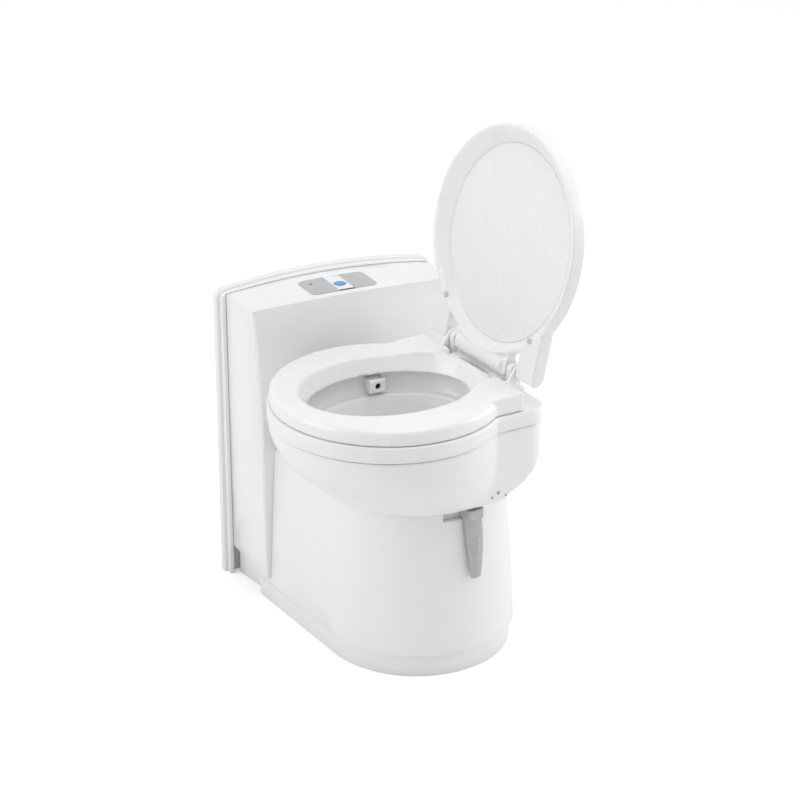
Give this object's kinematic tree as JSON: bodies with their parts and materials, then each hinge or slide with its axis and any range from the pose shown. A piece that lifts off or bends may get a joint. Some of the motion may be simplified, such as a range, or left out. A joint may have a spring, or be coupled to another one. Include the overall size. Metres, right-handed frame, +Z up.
{
  "type": "cassette toilet",
  "caption": "Caravan cassette toilet: a swivelling bowl with seat and lid on a pedestal, a wall console with a flush panel, and a waste tank that slides out at the back.",
  "frame": {"origin": "on the floor, directly under the axis the bowl swivels about", "axes": "+Z up, +Y back to the wall the toilet stands against, +X to the right of someone facing that wall"},
  "size_m": [0.4462, 0.5462, 0.818],
  "materials": {
    "casing_white": "satin gloss moulding",
    "liner_white": "high gloss, easy to wipe",
    "seat_white": "soft gloss",
    "fascia_grey": "satin silver film",
    "fascia_white": "gloss film",
    "display_dark": "tinted window",
    "key_blue": "gloss",
    "lever_grey": "fine satin",
    "works_white": "unpainted moulding",
    "frame_grey": "fine grain",
    "tank_grey": "blow-moulded, slightly waxy",
    "cap_dark": "fine grain",
    "seal_rubber": "matt",
    "pin_steel": "brushed",
    "blade_plastic": "satin",
    "nozzle_plastic": "satin",
    "board_green": "lacquered"
  },
  "bodies": {
    "base": {"wall_flange": "casing_white", "flange_trim": "casing_white", "console_housing": "casing_white", "console_plinth": "casing_white", "pedestal_shell": "casing_white", "pedestal_foot": "casing_white", "floor_frame": "frame_grey", "swivel_bearing": "works_white", "control_panel": "fascia_grey", "panel_window": "fascia_white", "display_bar": "display_dark", "level_light": "display_dark", "control_board": "board_green", "board_standoffs": "works_white", "flush_pump": "cap_dark", "pump_shelf": "works_white", "water_inlet": "cap_dark"},
    "flush_key": {"flush_button": "key_blue"},
    "bowl": {"bowl_shell": "casing_white", "rim_band": "casing_white", "bowl_liner": "liner_white", "nozzle_cover": "liner_white", "flush_nozzle": "nozzle_plastic", "bowl_hose": "seal_rubber", "swivel_retainer": "works_white", "outlet_seal": "seal_rubber", "hinge_block": "works_white", "hinge_pins": "pin_steel", "hinge_cover": "casing_white"},
    "seat": {"seat_ring": "seat_white", "seat_buffers": "seal_rubber"},
    "lid": {"lid_shell": "seat_white", "lid_inner_panel": "seat_white", "lid_buffers": "seal_rubber"},
    "lever": {"lever_ring": "works_white", "sector_gear": "works_white", "lever_handle": "lever_grey"},
    "cassette": {"tank_shell": "tank_grey", "tank_cover": "tank_grey", "lip_seal": "seal_rubber", "carry_grip": "tank_grey", "handle_guides": "frame_grey", "vent_boss": "tank_grey", "spout_socket": "tank_grey", "wheel_axle": "pin_steel"},
    "blade": {"valve_blade": "blade_plastic", "blade_pinion": "works_white"},
    "vent_key": {"vent_button": "cap_dark"},
    "spout": {"emptying_spout": "tank_grey"},
    "cap": {"spout_cap": "cap_dark"},
    "trolley": {"trolley_handle": "pin_steel"},
    "left_wheel": {"wheel_left": "cap_dark"},
    "right_wheel": {"wheel_right": "cap_dark"}
  },
  "joints": [
    {"name": "bowl_swivel", "type": "hinge", "parent": "base", "child": "bowl", "pos_m": [0, 0, 0.277], "axis": [0, 0, 1], "range_deg": [-4, 176]},
    {"name": "seat_hinge", "type": "hinge", "parent": "bowl", "child": "seat", "pos_m": [0.11771, 0.00823, 0.463], "axis": [-0.0698, 0.9976, 0], "range_deg": [0, 98]},
    {"name": "lid_hinge", "type": "hinge", "parent": "bowl", "child": "lid", "pos_m": [0.11771, 0.00823, 0.463], "axis": [-0.0698, 0.9976, 0], "range_deg": [-102, 0]},
    {"name": "valve_lever", "type": "hinge", "parent": "base", "child": "lever", "pos_m": [0, 0, 0.26], "axis": [0, 0, 1], "range_deg": [-12, 0]},
    {"name": "blade_turn", "type": "hinge", "parent": "cassette", "child": "blade", "pos_m": [0, 0.11, 0.21], "axis": [0, 0, 1], "range_deg": [0, 48]},
    {"name": "cassette_slide", "type": "slide", "parent": "base", "child": "cassette", "axis": [0, 1, 0], "range_m": [0, 0.45]},
    {"name": "flush_press", "type": "slide", "parent": "base", "child": "flush_key", "axis": [0, 0, -1], "range_m": [0, 0.002], "stiffness_N_per_m": 400, "springref_m": -0.0005},
    {"name": "vent_press", "type": "slide", "parent": "cassette", "child": "vent_key", "axis": [0, 0, -1], "range_m": [0, 0.003], "stiffness_N_per_m": 400, "springref_m": -0.0005},
    {"name": "spout_swivel", "type": "hinge", "parent": "cassette", "child": "spout", "pos_m": [0.095, 0.296, 0.212], "axis": [0, 0, 1], "range_deg": [-90, 0]},
    {"name": "cap_turn", "type": "hinge", "parent": "spout", "child": "cap", "pos_m": [-0.055, 0.296, 0.232], "axis": [-1, 0, 0], "range_deg": [0, 90]},
    {"name": "trolley_pull", "type": "slide", "parent": "cassette", "child": "trolley", "axis": [0, 1, 0], "range_m": [0, 0.22]},
    {"name": "left_wheel_spin", "type": "hinge", "parent": "cassette", "child": "left_wheel", "pos_m": [-0.108, -0.052, 0.0283], "axis": [1, 0, 0], "continuous": true},
    {"name": "right_wheel_spin", "type": "hinge", "parent": "cassette", "child": "right_wheel", "pos_m": [0.108, -0.052, 0.0283], "axis": [1, 0, 0], "continuous": true}
  ],
  "couplings": [
    {"joint": "blade_turn", "follows": "valve_lever", "ratio": -4}
  ]
}
